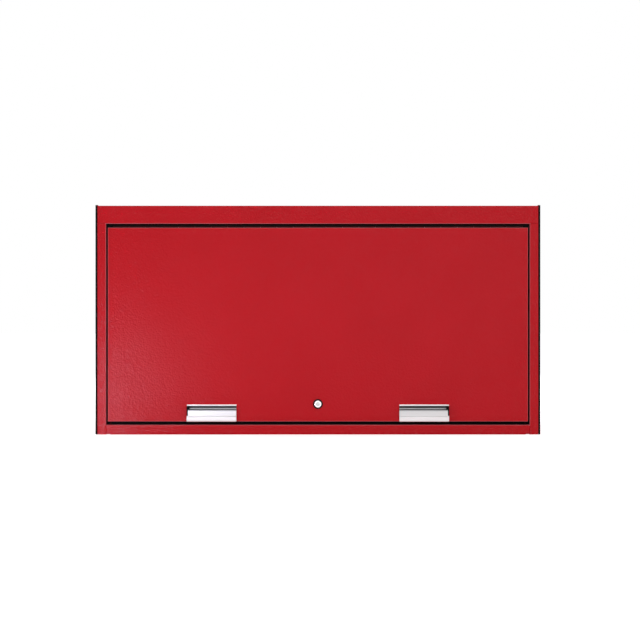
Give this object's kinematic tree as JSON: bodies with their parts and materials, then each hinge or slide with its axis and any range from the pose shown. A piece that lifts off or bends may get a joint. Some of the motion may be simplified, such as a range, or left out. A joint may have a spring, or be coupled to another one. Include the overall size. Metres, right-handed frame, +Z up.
{
  "type": "tool chest hutch",
  "caption": "Wide red sheet steel hutch for the top of a tool chest, closed by a lift-up door with aluminium pulls, a key lock, a continuous hinge and gas struts.",
  "frame": {"origin": "middle of the underside of the floor", "axes": "+Z up, the door faces -Y, +X to the right of someone facing the door"},
  "size_m": [1.372, 0.5825, 0.707],
  "materials": {
    "red_powder_coat": "fine textured powder coat, half gloss",
    "black_rubber": "matt black rubber",
    "black_steel": "satin black",
    "bare_steel": "turned steel",
    "zinc_steel": "zinc plated",
    "pull_aluminium": "brushed extrusion",
    "black_plastic": "moulded",
    "lock_chrome": "polished",
    "rod_chrome": "ground and plated"
  },
  "bodies": {
    "cabinet": {"left_side_panel": "red_powder_coat", "right_side_panel": "red_powder_coat", "top_panel": "red_powder_coat", "back_panel": "red_powder_coat", "floor_panel": "red_powder_coat", "sill_rail": "red_powder_coat", "hinge_rail": "red_powder_coat", "top_stiffeners": "red_powder_coat", "left_corner_strip": "black_rubber", "right_corner_strip": "black_rubber", "left_side_seal": "black_rubber", "right_side_seal": "black_rubber", "sill_seal": "black_rubber", "header_seal": "black_rubber", "cable_grommets": "black_rubber", "hinge_frame_leaf": "black_steel", "hinge_pin": "bare_steel", "left_strut_wall_bracket": "red_powder_coat", "right_strut_wall_bracket": "red_powder_coat", "strut_wall_studs": "zinc_steel", "back_panel_screws": "zinc_steel"},
    "door": {"door_skin": "red_powder_coat", "door_inner_panel": "red_powder_coat", "door_stiffeners": "red_powder_coat", "hinge_door_leaf": "black_steel", "left_pull": "pull_aluminium", "right_pull": "pull_aluminium", "left_pull_end_cap": "black_plastic", "right_pull_end_cap": "black_plastic", "pull_screws": "zinc_steel", "lock_housing": "lock_chrome", "lock_trim_ring": "black_plastic", "lock_nut": "zinc_steel", "left_strut_door_bracket": "black_steel", "right_strut_door_bracket": "black_steel", "strut_door_studs": "zinc_steel", "door_bracket_screws": "zinc_steel"},
    "lock": {"lock_plug": "lock_chrome", "lock_cam": "zinc_steel", "lock_cam_nut": "zinc_steel"},
    "left_strut_cylinder": {"left_strut_tube": "black_steel", "left_strut_gland": "black_plastic", "left_strut_tube_socket": "black_plastic"},
    "left_strut_piston": {"left_strut_rod": "rod_chrome", "left_strut_rod_socket": "black_plastic"},
    "right_strut_cylinder": {"right_strut_tube": "black_steel", "right_strut_gland": "black_plastic", "right_strut_tube_socket": "black_plastic"},
    "right_strut_piston": {"right_strut_rod": "rod_chrome", "right_strut_rod_socket": "black_plastic"}
  },
  "joints": [
    {"name": "door_lift", "type": "hinge", "parent": "cabinet", "child": "door", "pos_m": [0, -0.2711, 0.6385], "axis": [-1, 0, 0], "range_deg": [0, 90]},
    {"name": "lock_turn", "type": "hinge", "parent": "door", "child": "lock", "pos_m": [0, -0.28, 0.0939], "axis": [0, 1, 0], "range_deg": [0, 90]},
    {"name": "left_cylinder_swing", "type": "hinge", "parent": "cabinet", "child": "left_strut_cylinder", "pos_m": [-0.6255, 0.02064, 0.5686], "axis": [-1, 0, 0], "range_deg": [0, 45]},
    {"name": "left_piston_swing", "type": "hinge", "parent": "door", "child": "left_strut_piston", "pos_m": [-0.6255, -0.237, 0.34044], "axis": [1, 0, 0], "range_deg": [0, 45]},
    {"name": "right_cylinder_swing", "type": "hinge", "parent": "cabinet", "child": "right_strut_cylinder", "pos_m": [0.6255, 0.02064, 0.5686], "axis": [-1, 0, 0], "range_deg": [0, 45]},
    {"name": "right_piston_swing", "type": "hinge", "parent": "door", "child": "right_strut_piston", "pos_m": [0.6255, -0.237, 0.34044], "axis": [1, 0, 0], "range_deg": [0, 45]}
  ],
  "couplings": [
    {"joint": "left_cylinder_swing", "follows": "door_lift", "ratio": 0.5},
    {"joint": "left_piston_swing", "follows": "door_lift", "ratio": 0.5},
    {"joint": "right_cylinder_swing", "follows": "door_lift", "ratio": 0.5},
    {"joint": "right_piston_swing", "follows": "door_lift", "ratio": 0.5}
  ]
}
